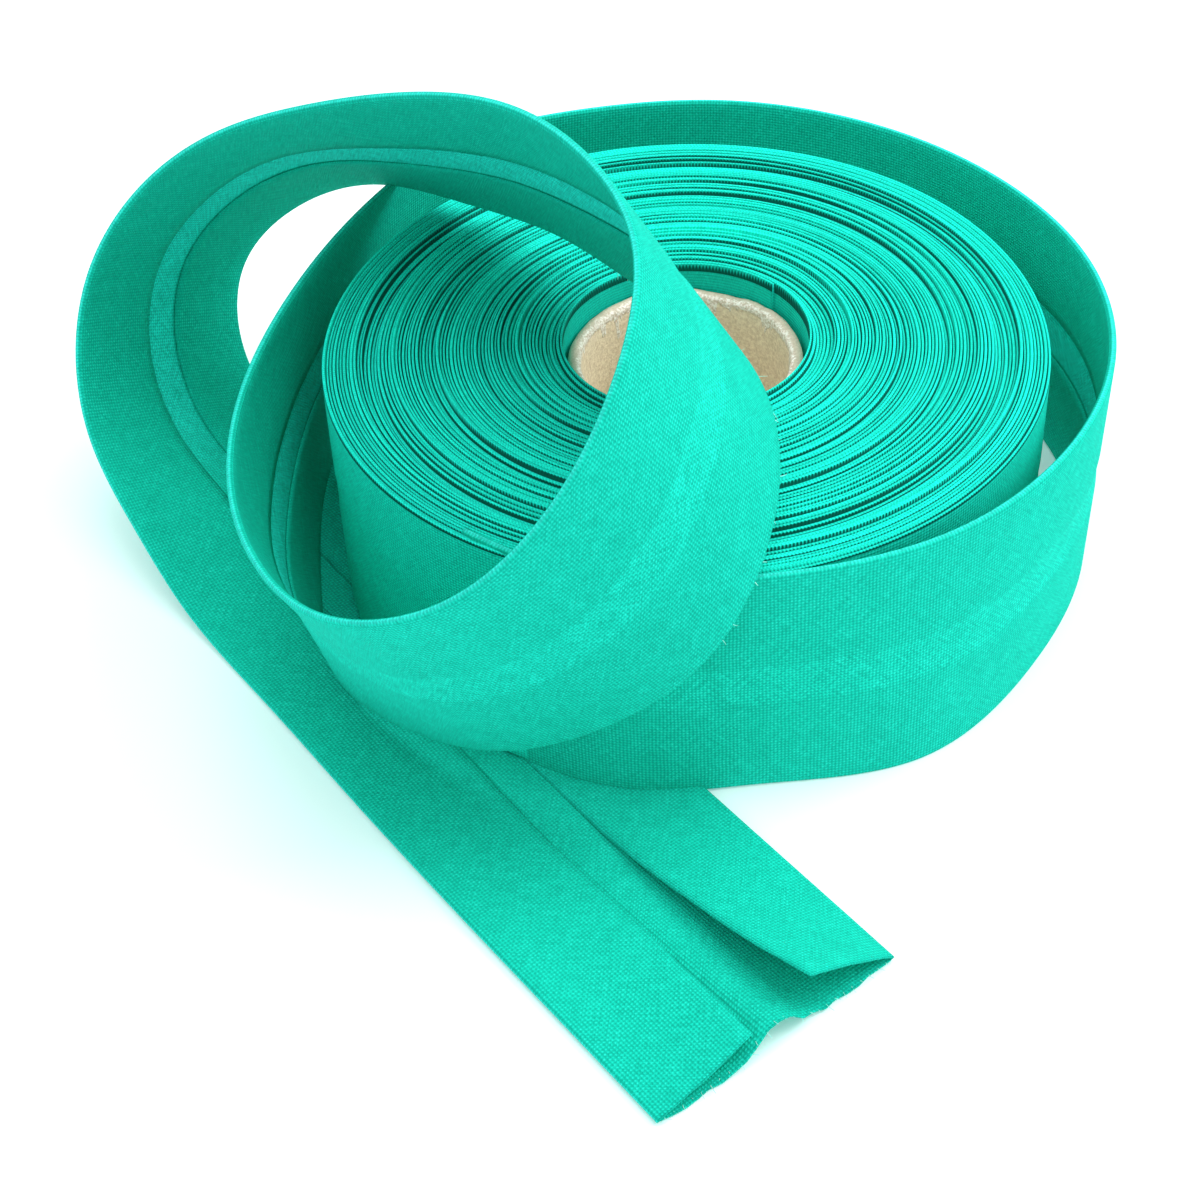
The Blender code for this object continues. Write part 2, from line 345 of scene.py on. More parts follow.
    def groove(self, n: Nodes, colour: object, along: object) -> bpy.types.NodeSocket:
        """Paint shade into the grooves between the turns, and give each turn its own tone.

        Args:
            n: The material's nodes.
            colour: The cloth's colour.
            along: Metres along the tape.

        Returns:
            The new colour.
        """
        turns = n.add("ShaderNodeUVMap", uv_map="turns")
        split = n.add("ShaderNodeSeparateXYZ")
        n.plug(turns.outputs[0], split.inputs[0])
        edge = n.math("ABSOLUTE", n.math("SUBTRACT", split.outputs[1], 0.5))
        own = self.turn_noise(n, split.outputs[0], 1.25)
        tight = n.math("SUBTRACT", self.turn_noise(n, split.outputs[0], 4.0), 0.5)
        bead = n.math("COSINE", n.math("MULTIPLY", along, math.tau / (self.pitch * math.sqrt(2))))
        beaded = n.math("MULTIPLY_ADD", bead, 0.035, 0.31)
        starts = n.math("ADD", beaded, n.math("MULTIPLY", tight, 0.22))
        # Painted shade along each groove between turns, in beaded dashes.
        dark = n.ramp(n.math("SUBTRACT", edge, starts), 0.0, 0.10)
        toned = n.mix(n.ramp(own, 0.42, 0.62, 0.0, 0.22), colour, self.shade_and_tone_dark)
        return n.mix(n.math("MULTIPLY", dark, 0.94), toned, self.gap)

    @staticmethod
    def turn_noise(n: Nodes, turn: object, scale: float) -> bpy.types.NodeSocket:
        """Noise that changes slowly along a turn, so a groove stays one long line."""
        noise = n.add("ShaderNodeTexNoise", noise_dimensions="1D")
        n.plug(turn, noise.inputs["W"])
        noise.inputs["Scale"].default_value = scale
        noise.inputs["Detail"].default_value = 1.0
        return noise.outputs[0]


@dataclass(frozen=True)
class KraftBoard:
    """Grey-brown wound board with a pale, torn paper rim."""

    board: Colour = (1.0, 0.88, 0.66)
    dark: Colour = (0.70, 0.57, 0.40)
    paper: Colour = (0.70, 0.61, 0.48)
    torn: Colour = (1.0, 0.97, 0.88)
    fibres: Colour = (0.58, 0.49, 0.37)
    torn_radius: float = 16.1 * MM
    drip: float = 4.5 * MM
    rim_height: float = 36.5 * MM
    rim_depth: float = 1.1 * MM

    def make(self, name: str, axis: Vector) -> bpy.types.Material:
        """Make the material.

        Args:
            name: The material's name.
            axis: The foot of the tube's own axis.

        Returns:
            The material.
        """
        n = Nodes(name)
        place = n.add("ShaderNodeTexCoord").outputs["Object"]
        split = n.add("ShaderNodeSeparateXYZ")
        n.plug(place, split.inputs[0])
        stretch = n.add("ShaderNodeMapping")
        n.plug(place, stretch.inputs[0])
        stretch.inputs["Scale"].default_value = (1, 1, 0.22)
        drips = n.noise(stretch.outputs[0], 420, 3, 0.65)
        depth = n.math("SUBTRACT", axis.z + self.rim_height - self.rim_depth, split.outputs[2])
        centred = n.add("ShaderNodeMapping")
        n.plug(place, centred.inputs[0])
        centred.inputs["Location"].default_value = (-axis.x, -axis.y, 0)
        centred.inputs["Scale"].default_value = (1, 1, 0)
        reached = n.add("ShaderNodeVectorMath", operation="LENGTH")
        n.plug(centred.outputs[0], reached.inputs[0])
        tears = n.noise(place, 700, 3, 0.6)
        ragged = n.math("MULTIPLY_ADD", tears, 1.6 * MM, reached.outputs["Value"])
        lip = n.ramp(ragged, self.torn_radius + 0.6 * MM, self.torn_radius + 1.0 * MM, 1.0, 0.0)
        above = n.math("MULTIPLY", depth, -1.0)
        reach = n.math("MULTIPLY_ADD", n.ramp(drips, 0.48, 0.72), self.drip, above)
        torn = n.ramp(reach, -0.25 * MM, 0.25 * MM)
        mottle = n.noise(place, 1700, 4, 0.75)
        fibre = n.noise(place, 2600, 2, 0.6)
        inner = n.mix(n.ramp(mottle, 0.3, 0.72), self.dark, self.board)
        rim = n.mix(n.ramp(fibre, 0.3, 0.7), self.fibres, n.mix(lip, self.paper, self.torn))
        bump = n.add("ShaderNodeBump")
        bump.inputs["Strength"].default_value = 0.5
        bump.inputs["Distance"].default_value = 0.25 * MM
        n.plug(n.math("ADD", fibre, n.math("MULTIPLY", torn, 1.4)), bump.inputs["Height"])
        shader = n.add("ShaderNodeBsdfPrincipled")
        n.plug(n.mix(torn, inner, rim), shader.inputs["Base Color"])
        n.plug(bump.outputs[0], shader.inputs["Normal"])
        shader.inputs["Roughness"].default_value = 0.9
        shader.inputs["Specular IOR Level"].default_value = 0.2
        out = n.add("ShaderNodeOutputMaterial")
        n.plug(shader, out.inputs[0])
        return n.material


def noise_1d(seed: int, count: int) -> np.ndarray:
    """Return count values between -1 and 1 that stay the same for each seed."""
    return np.random.default_rng(seed).uniform(-1, 1, count)


def smooth_noise(where: np.ndarray, seed: int, count: int = 512) -> np.ndarray:
    """Read smooth noise at each place.

    Args:
        where: The places, one unit between the noise's own values.
        seed: Which noise it is.
        count: How many values there are before it repeats.

    Returns:
        A value from -1 to 1 for each place.
    """
    values = noise_1d(seed, count)
    low = np.floor(where).astype(int)
    share = where - low
    share = share * share * (3 - 2 * share)
    return values[low % count] * (1 - share) + values[(low + 1) % count] * share


def spline(knots: np.ndarray, points: np.ndarray, at: np.ndarray) -> np.ndarray:
    """Run a natural cubic spline through points.

    Args:
        knots: Where each point lies along the curve.
        points: One row for each point.
        at: Where the curve is wanted.

    Returns:
        One row for each value in at.
    """
    count = len(knots)
    gap = np.diff(knots)
    system = np.eye(count)
    right = np.zeros_like(points)
    slope = np.diff(points, axis=0) / gap[:, None]
    for i in range(1, count - 1):
        system[i, i - 1 : i + 2] = gap[i - 1], 2 * (gap[i - 1] + gap[i]), gap[i]
        right[i] = 6 * (slope[i] - slope[i - 1])
    curve = np.linalg.solve(system, right)
    span = np.clip(np.searchsorted(knots, at, side="right") - 1, 0, count - 2)
    h = gap[span][:, None]
    a = (knots[span + 1] - at)[:, None] / h
    b = (at - knots[span])[:, None] / h
    bend = (a**3 - a) * curve[span] + (b**3 - b) * curve[span + 1]
    return a * points[span] + b * points[span + 1] + bend * h * h / 6


def unit(rows: np.ndarray) -> np.ndarray:
    """Scale each row to length 1."""
    return rows / np.linalg.norm(rows, axis=1, keepdims=True)


def mapped_grid(
    bm: bmesh.types.BMesh, across: int, along: int
) -> tuple[list[bmesh.types.BMVert], np.ndarray]:
    """Add a flat grid to bm.

    Args:
        bm: The mesh to add to.
        across: Faces in x.
        along: Faces in y.

    Returns:
        The new vertices, and for each its share from 0 to 1 in x and in y.
    """
    verts = bmesh.ops.create_grid(bm, x_segments=across, y_segments=along, size=1)["verts"]
    share = np.array([v.co[:2] for v in verts]) / 2 + 0.5
    return verts, share


def put(verts: list[bmesh.types.BMVert], places: np.ndarray) -> None:
    """Move each vertex to its place."""
    for vert, place in zip(verts, places):
        vert.co = place


def set_uv(
    bm: bmesh.types.BMesh,
    verts: list[bmesh.types.BMVert],
    values: np.ndarray,
    name: str = "cloth",
) -> None:
    """Write one pair of values for each vertex to the UV map called name, on the faces of verts."""
    layer = bm.loops.layers.uv.get(name) or bm.loops.layers.uv.new(name)
    where = {vert: value for vert, value in zip(verts, values)}
    for face in bm.faces:
        if face.verts[0] in where:
            for loop in face.loops:
                if loop.vert in where:
                    loop[layer].uv = where[loop.vert]


def finish_piece(
    bm: bmesh.types.BMesh, name: str, material: bpy.types.Material
) -> bpy.types.Object:
    """Make bm an object that rides on the part's one body.

    Args:
        bm: The finished mesh.
        name: The piece's name.
        material: Its material.

    Returns:
        The object.
    """
    mesh = bpy.data.meshes.new(name)
    bm.to_mesh(mesh)
    bm.free()
    for polygon in mesh.polygons:
        polygon.use_smooth = True
    piece = bpy.data.objects.new(name, mesh)
    bpy.context.scene.collection.objects.link(piece)
    mesh.materials.append(material)
    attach(piece, "root")
    return piece


@dataclass
class LooseTape:
    """The outermost turn, sprung loose, with the loop and the free end: one folded strip."""

    axis: Vector
    stations: int = 620
    half_width: float = 20 * MM
    fold_radius: float = 0.42 * MM
    raw_edge: float = 3.5 * MM
    cloth: float = 0.26 * MM
    settle: float = 0.48 * MM
    opens: float = 46 * MM
    top_lift: float = 0.32
    low_lift: float = 0.72
    low_bend: float = -18.0
    widening: float = 1.5 * MM
    arch: float = 4.2 * MM
    arch_width: float = 4.6 * MM
    strip_step: float = 0.18 * MM
    outside: tuple[float, float, float] = (0.061, 0.0, 0.015)
    flap_cells: int = 9
    fold_cells: int = 4
    base_cells: int = 20

    def across(self) -> np.ndarray:
        """Return the cut strip's rows in metres from its middle, the low raw edge first."""
        flat = self.half_width - self.fold_radius
        arc = math.pi * self.fold_radius
        flap = flat - self.raw_edge
        half = np.concatenate(
            [
                np.linspace(0, flat, self.base_cells // 2 + 1)[1:],
                flat + np.linspace(0, arc, self.fold_cells + 1)[1:],
                flat + arc + np.linspace(0, flap, self.flap_cells + 1)[1:],
            ]
        )
        return np.concatenate([-half[::-1], [0.0], half])

    def length(self) -> float:
        """The tape's length along its middle line."""
        rows = np.array(TAPE_ROUTE_MM) * MM
        middle = (rows[:, :3] + rows[:, 3:]) / 2
        return float(np.sum(np.linalg.norm(np.diff(middle, axis=0), axis=1)))

    def section(self, s: np.ndarray, share: np.ndarray) -> tuple[np.ndarray, np.ndarray]:
        """Fold the strip's rows into the section.

        Args:
            s: Metres from the strip's middle.
            share: How far along the tape each row lies, from 0 to 1.

        Returns:
            Metres across the tape, and metres inwards from its base.
        """
        flat = self.half_width - self.fold_radius
        arc = math.pi * self.fold_radius
        side = np.sign(s)
        far = np.abs(s)
        turn = np.clip((far - flat) / self.fold_radius, 0, math.pi)
        run = np.maximum(far - flat - arc, 0)
        across = np.minimum(far, flat) + self.fold_radius * np.sin(turn)
        inward = self.fold_radius * (1 - np.cos(turn)) - self.settle * np.clip(run / (6 * MM), 0, 1)
        top = side > 0
        length = self.length()
        opening = np.clip((share - 1 + self.opens / length) * length / self.opens, 0, 1) ** 1.6
        lift = np.where(top, self.top_lift, self.low_lift) * opening
        bend = np.where(top, 0.0, self.low_bend) * opening
        swell = (0, self.widening, self.widening, 0)
        wider = np.interp(share * length, (0.55, 0.66, length - 0.07, length), swell)
        run = run * (1 + np.where(top, wider, 0) / (flat - self.raw_edge))
        angle = lift + bend * run
        across = across - run * np.cos(angle)
        inward = inward + run * np.sin(lift + bend * run * 0.5)
        arch = self.arch * np.clip((share - 0.95) / 0.05, 0, 1) ** 1.6
        hump = np.exp(-(((side * across - 0.5 * MM) / self.arch_width) ** 2))
        inward = inward + np.where(run > 0, 0, arch * hump)
        return side * across, inward

    def route(self) -> tuple[np.ndarray, np.ndarray, np.ndarray, np.ndarray, float]:
        """Work out the tape's middle line and its frame at each station.

        Returns:
            The middle line, the direction across, the direction inwards, how far along each
            station lies from 0 to 1, and the length.
        """
        rows = np.array(TAPE_ROUTE_MM) * MM
        top, low = rows[:, :3], rows[:, 3:]
        middle = (top + low) / 2
        knots = np.concatenate([[0], np.cumsum(np.linalg.norm(np.diff(middle, axis=0), axis=1))])
        dense = np.linspace(0, knots[-1], self.stations + 1)
        both = spline(knots, np.hstack([top, low]), dense)
        top, low = both[:, :3], both[:, 3:]
        middle = (top + low) / 2
        across = unit(top - low)
        ahead = unit(np.gradient(middle, axis=0))
        inward = unit(np.cross(across, ahead))
        length = float(np.sum(np.linalg.norm(np.diff(middle, axis=0), axis=1)))
        return middle, across, inward, dense / knots[-1], length

    def build(self, outer: bpy.types.Material, inner: bpy.types.Material) -> bpy.types.Object:
        """Build the strip, fold it and lay it along its route.

        Args:
            outer: The cloth's outer side.
            inner: The side that the flaps fold over.

        Returns:
            The piece.
        """
        rows = self.across()
        middle, across, inward, along, length = self.route()
        bm = bmesh.new()
        verts, share = mapped_grid(bm, len(rows) - 1, self.stations)
        column = np.rint(share[:, 0] * (len(rows) - 1)).astype(int)
        line = np.rint(share[:, 1] * self.stations).astype(int)
        s = rows[column]
        u = along[line]
        raw = np.abs(np.abs(s) - rows[-1]) < 1e-6
        metres = u * length
        fine = 0.07 * MM * smooth_noise(metres / (1.3 * MM) + 40 * (s > 0), 3, 2048)
        fray = fine + 0.16 * MM * smooth_noise(metres / (14 * MM) + 17 * (s > 0), 4)
        s = s + np.where(raw, -np.sign(s) * (fray + 0.2 * MM), 0)
        w, h = self.section(s, u)
        ripple = 0.08 * MM * smooth_noise(metres / (22 * MM) + 3 * s / (12 * MM), 8)
        ripple = ripple * (np.abs(s) > self.half_width)
        past_edge = np.clip((np.abs(w) - self.raw_edge + 0.4 * MM) / (0.8 * MM), 0, 1)
        step = self.strip_step * (1 - past_edge)
        h = h + np.where(np.abs(s) < self.half_width, step, 0) + np.maximum(ripple, -0.03 * MM)
        ragged = np.where(np.abs(s) < self.half_width, 1.0, 0.25)
        ends = 0.3 * MM * smooth_noise(s / (1.2 * MM), 6, 256)
        ends = ends + 0.35 * MM * smooth_noise(s / (6 * MM), 7, 256)
        cut = np.where(line == self.stations, ends * ragged, 0)
        ahead = np.cross(inward, across)
        places = middle[line] + across[line] * w[:, None] + inward[line] * h[:, None]
        places = places + ahead[line] * cut[:, None]
        places[:, 2] = np.maximum(places[:, 2], 0.15 * MM)
        put(verts, places + np.array(self.axis))
        set_uv(bm, verts, np.column_stack([metres + cut, rows[column]]))
        bmesh.ops.recalc_face_normals(bm, faces=bm.faces)
        bm.faces.ensure_lookup_table()
        outside = self.axis + Vector(self.outside)
        probe = min(bm.faces, key=lambda face: (face.calc_center_median() - outside).length)
        if probe.normal.x < 0:
            bmesh.ops.reverse_faces(bm, faces=bm.faces)
        piece = finish_piece(bm, "loose_tape_cloth", inner)
        piece.data.materials.append(outer)
        wall = piece.modifiers.new("thickness", "SOLIDIFY")
        wall.thickness = self.cloth
        wall.offset = 0
        wall.material_offset = 1
        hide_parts("loose_tape")
        return piece


@dataclass
class WoundRoll:
    """All the tight turns, as one spiral of folded edges with its side and foot."""

    axis: Vector
    whole_turns: int = 69
    last_steps: int = 105
    inner: float = 17.7 * MM
    outer: float = 53.3 * MM
    height: float = 40 * MM
    strip: float = 3.6 * MM
    start: float = math.radians(42)
    steps: int = 180
    seed: int = 11
    end_normal: tuple[float, float, float] = (0.787, 0.618, 0.0)
    end_edge: float = -31.0 * MM
    end_thickness: float = 1.2 * MM
    profile: tuple[float, ...] = (0.0, 0.14, 0.34, 0.66, 0.86, 1.0)
    drop: tuple[float, ...] = (0.0, 0.22, 0.03, 0.0, 0.20, 0.0)

    @property
    def count(self) -> int:
        """How many steps the whole spiral has."""
        return self.whole_turns * self.steps + self.last_steps

    @property
    def turns(self) -> float:
        """How many turns the spiral has."""
        return self.count / self.steps

    @property
    def pitch(self) -> float:
        """The thickness of one turn."""
        return (self.outer - self.inner) / (self.turns + 1)

    def groove_radius(self, turn: np.ndarray) -> np.ndarray:
        """Where the groove between two turns lies, at a place counted in turns."""
        return self.inner + self.pitch * (turn + 0.2 * smooth_noise(turn * 1.7, self.seed + 7))

    def groove_depth(self, turn: np.ndarray) -> np.ndarray:
        """How deep the groove is between two turns, at a place counted in turns."""
        slow = 0.3 * smooth_noise(turn * 1.3, self.seed + 1)
        usual = 0.7 + slow + 0.25 * smooth_noise(turn * 9.0, self.seed + 2, 1024)
        gap = np.clip(smooth_noise(turn * 1.1, self.seed + 5) - 0.35, 0, 1) * 4.5
        return MM * np.clip(usual + gap, 0.3, 3.0)

    def crown(self, turn: np.ndarray) -> np.ndarray:
        """How proud a turn's folded edge stands, at a place counted in turns."""
        band = 0.65 * smooth_noise(turn / 5.0, self.seed + 3)
        own = 0.55 * smooth_noise(turn * 1.15, self.seed + 4)
        slow = 0.10 * smooth_noise(turn * 7.0, self.seed + 6, 1024)
        return MM * (band + own + slow)

    def ring(self, turn: np.ndarray, radius: np.ndarray, high: np.ndarray) -> np.ndarray:
        """Turn places counted in turns to places in the roll's frame, slightly out of round."""
        angle = self.start + turn * math.tau
        radius = radius * (1 + 0.0022 * np.sin(angle * 2 + 0.7))
        places = np.column_stack([radius * np.cos(angle), radius * np.sin(angle), high])
        return places + np.array(self.axis)

    def foot_rise(self, places: np.ndarray) -> np.ndarray:
        """How far the roll's foot is pushed up where it stands on the tape's end."""
        beside = (places - np.array(self.axis)) @ np.array(self.end_normal)
        share = np.clip((self.end_edge - beside) / (2.5 * MM), 0, 1)
        return self.end_thickness * share * share * (3 - 2 * share)

    def top_height(self, turn: np.ndarray, row: np.ndarray) -> np.ndarray:
        """How high the spiral's rows are: a rounded edge between two grooves."""
        last = len(self.profile) - 1
        groove = (row == 0) | (row == last)
        depth = self.groove_depth(turn + (row == last))
        ridge = self.crown(turn) - np.array(self.drop)[row] * MM
        return self.height + np.where(groove, -depth, ridge)

    def build(self, material: bpy.types.Material) -> bpy.types.Object:
        """Build the roll.

        Args:
            material: The cloth.

        Returns:
            The piece.
        """
        bm = bmesh.new()
        last = len(self.profile) - 1
        verts, share = mapped_grid(bm, last, self.count)
        row = np.rint(share[:, 0] * last).astype(int)
        step = np.rint(share[:, 1] * self.count).astype(int)
        turn = step / self.steps
        part = np.array(self.profile)[row]
        radius = self.groove_radius(turn) * (1 - part) + self.groove_radius(turn + 1) * part
        put(verts, self.ring(turn, radius, self.top_height(turn, row)))
        along = math.tau * (self.inner * turn + self.pitch * turn * turn / 2)
        set_uv(bm, verts, np.column_stack([along, part * 1.1 * MM + 20 * MM]))
        set_uv(bm, verts, np.column_stack([turn, part]), "turns")
        self.wall(bm, self.turns - 1, 1, 30)
        self.wall(bm, 0, 0, 8)
        self.end(bm, 0.0)
        self.end(bm, self.turns)
        self.foot(bm)
        bmesh.ops.remove_doubles(bm, verts=bm.verts, dist=0.004 * MM)
        bmesh.ops.recalc_face_normals(bm, faces=bm.faces)
        piece = finish_piece(bm, "wound_tape_cloth", material)
        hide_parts("wound_roll")
        return piece

    def wall(self, bm: bmesh.types.BMesh, first: float, edge: int, cells: int) -> None:
        """Add the side wall that hangs from one turn's edge.

        Args:
            bm: The roll's mesh.
            first: Where the wall begins, counted in turns.
            edge: Which of the turn's edges it hangs from, 0 the inner and 1 the outer.
            cells: Faces from top to foot.
        """
        verts, share = mapped_grid(bm, cells, self.steps)
        turn = first + np.rint(share[:, 1] * self.steps) / self.steps
        high = (self.height - self.groove_depth(turn + edge)) * (1 - share[:, 0])
        radius = self.groove_radius(turn + edge)
        if edge:
            strip = np.abs(high - self.height / 2) < self.strip
            radius = radius + 0.10 * MM * np.sin(share[:, 0] * math.pi) - 0.12 * MM * strip
        places = self.ring(turn, radius, high)
        places[:, 2] += self.foot_rise(places) * share[:, 0]
        put(verts, places)
        set_uv(bm, verts, np.column_stack([turn * math.tau * self.outer, high - 20 * MM]))
        set_uv(bm, verts, np.column_stack([turn, turn * 0 + 0.5]), "turns")

    def end(self, bm: bmesh.types.BMesh, turn: float) -> None:
        """Close the step where the spiral begins or ends.

        Args:
            bm: The roll's mesh.
            turn: Where the step is, counted in turns.
        """
        last = len(self.profile) - 1
        verts, share = mapped_grid(bm, last, 8)
        row = np.rint(share[:, 0] * last).astype(int)
        part = np.array(self.profile)[row]
        turns = np.full(len(verts), turn)
        radius = self.groove_radius(turns) * (1 - part) + self.groove_radius(turns + 1) * part
        put(verts, self.ring(turns, radius, self.top_height(turns, row) * share[:, 1]))
        set_uv(bm, verts, np.column_stack([radius, share[:, 1] * self.height - 20 * MM]))
        set_uv(bm, verts, np.column_stack([turns, turns * 0 + 0.5]), "turns")

    def foot(self, bm: bmesh.types.BMesh) -> None:
        """Close the roll underneath, with soft rings where groups of turns stand."""
        rings = 70
        verts, share = mapped_grid(bm, rings, self.steps)
        ring = np.rint(share[:, 0] * rings)
        near = np.rint(share[:, 1] * self.steps) / self.steps
        low, high = self.groove_radius(near), self.groove_radius(self.turns + near)
        turn = near + ring * self.turns / rings
        rise = np.where((ring == 0) | (ring == rings), 0, 0.35 * MM * (ring % 2))
        late = near + np.where(ring == rings, self.turns, 0)
        places = self.ring(late, low + (high - low) * ring / rings, rise)
        places[:, 2] += self.foot_rise(places)
        put(verts, places)
        set_uv(bm, verts, np.column_stack([turn * math.tau * low, turn * self.pitch + 20 * MM]))
        set_uv(bm, verts, np.column_stack([turn, (ring % 2) * 0.5]), "turns")


@dataclass
class CoreTube:
    """The short cardboard tube with its pale torn rim."""

    axis: Vector
    outer: float = 17.4 * MM
    bore: float = 15.5 * MM
    foot: float = 0.3 * MM
    top: float = 36.5 * MM
    segments: int = 160

    @staticmethod
    def around(turn: float, waves: int, seed: int) -> float:
        """Noise round the tube that meets itself after one turn."""
        return float(smooth_noise(np.array([turn * waves]), seed, waves)[0])

    def build(self, material: bpy.types.Material) -> bpy.types.Object:
        """Build the tube.

        Args:
            material: The board.

        Returns:
            The piece.
        """
        bm = bmesh.new()
        rim = 0.55 * MM
        profile = [(self.bore, z) for z in np.linspace(self.foot, self.top - rim, 14)]
        profile += [
            (self.bore + rim * 0.3, self.top - rim * 0.35),
            (self.bore + rim, self.top),
            ((self.outer + self.bore) / 2, self.top + 0.12 * MM),
            (self.outer - rim, self.top - 0.02 * MM),
            (self.outer - rim * 0.3, self.top - rim * 0.4),
            (self.outer, self.top - rim),
            (self.outer, self.foot),
        ]
        ring = [bm.verts.new((r, 0, z)) for r, z in profile]
        edges = [bm.edges.new(pair) for pair in zip(ring, ring[1:] + ring[:1])]
        bmesh.ops.spin(
            bm,
            geom=ring + edges,
            cent=(0, 0, 0),
            axis=(0, 0, 1),
            angle=math.tau,
            steps=self.segments,
            use_merge=True,
        )
        bmesh.ops.remove_doubles(bm, verts=bm.verts, dist=0.001 * MM)
        bmesh.ops.recalc_face_normals(bm, faces=bm.faces)
        for vert in bm.verts:
            turn = math.atan2(vert.co.y, vert.co.x) / math.tau % 1.0
            high = max(0.0, (vert.co.z - self.top + 3 * MM) / (3 * MM))
            wave = 0.35 * self.around(turn, 16, 21) + 0.16 * self.around(turn, 64, 22)
            vert.co.z += wave * MM * high
            reach = vert.co.xy.length
            if reach < (self.outer + self.bore) / 2:
                push = 0.14 * MM * self.around(turn, 40, 23) * high
                vert.co.x *= 1 + push / reach
                vert.co.y *= 1 + push / reach
        bmesh.ops.translate(bm, vec=self.axis, verts=bm.verts)
        piece = finish_piece(bm, "core_tube_board", material)
        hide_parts("core_tube")
        return piece


@dataclass
class LooseFibres:
    """Fine stray threads that stand out from an edge."""

    radius: float = 0.06 * MM
    joints: int = 5
    on_loop: int = 34
    at_cut: int = 26
    loop_span: tuple[float, float] = (0.56, 0.69)

    def build(
        self, roots: np.ndarray, ways: np.ndarray, material: bpy.types.Material
    ) -> bpy.types.Object:
        """Build one thin curling tube for each root.

        Args:
            roots: Where each fibre starts, one row each.
            ways: Which way it points, with its length, one row each.
            material: The cloth.

        Returns:
            The piece.
        """
        bm = bmesh.new()
        for number, (root, way) in enumerate(zip(roots, ways)):
            verts, share = mapped_grid(bm, 4, self.joints)
            curl = 0.35 * np.linalg.norm(way) * noise_1d(60 + number, 3)
            run = share[:, 1:]
            line = root + way * run + curl * run * run
            side = np.cross(way, curl)
            side = side / max(float(np.linalg.norm(side)), 1e-9)
            up = np.cross(side, way / np.linalg.norm(way))
            turn = share[:, :1] * math.tau
            thin = self.radius * (1 - 0.6 * run)
            put(verts, line + thin * (np.cos(turn) * side + np.sin(turn) * up))
        bmesh.ops.remove_doubles(bm, verts=bm.verts, dist=0.002 * MM)
        bmesh.ops.holes_fill(bm, edges=[edge for edge in bm.edges if edge.is_boundary])
        bmesh.ops.recalc_face_normals(bm, faces=bm.faces)
        verts = list(bm.verts)
        set_uv(bm, verts, np.array([(vert.co.x, 0.0) for vert in verts]))
        return finish_piece(bm, "loose_fibres_cloth", material)

    def cloth(self, tape: LooseTape, material: bpy.types.Material) -> bpy.types.Object:
        """Build the fibres along the loop's low fold and at the cut end.

        Args:
            tape: The loose tape that they come from.
            material: The cloth.

        Returns:
            The piece.
        """
        middle, across, inward, _, _ = tape.route()
        ahead = unit(np.cross(inward, across))
        roots, ways = [], []
        first, last = self.loop_span
        for number in range(self.on_loop):
            share = first + (last - first) * number / (self.on_loop - 1)
            line = int(tape.stations * share)
            wild = noise_1d(200 + number, 4)
            fold = middle[line] - across[line] * (tape.half_width - 0.1 * MM)
            roots.append(fold + inward[line] * 0.3 * MM)
            way = -across[line] * (0.9 + 0.5 * wild[0]) + ahead[line] * wild[1] * 1.2
            way = way + inward[line] * wild[2] * 0.6
            ways.append(way * MM * (1.2 + 0.8 * wild[3]))
        for number in range(self.at_cut):
            wild = noise_1d(300 + number, 4)
            place = np.array([tape.half_width * (2 * number / (self.at_cut - 1) - 1) * 0.94])
            sideways, inwards = (float(value[0]) for value in tape.section(place, np.array([1.0])))
            edge = middle[-1] + across[-1] * sideways - ahead[-1] * 0.4 * MM
            roots.append(edge + inward[-1] * (inwards + 0.1 * MM))
            way = ahead[-1] * (1.1 + 0.5 * wild[0]) + across[-1] * wild[1] * 0.8
            way = way + inward[-1] * 0.25 * abs(wild[2])
            ways.append(way * MM * (0.75 + 0.35 * wild[3]))
        return self.build(np.array(roots) + np.array(tape.axis), np.array(ways), material)


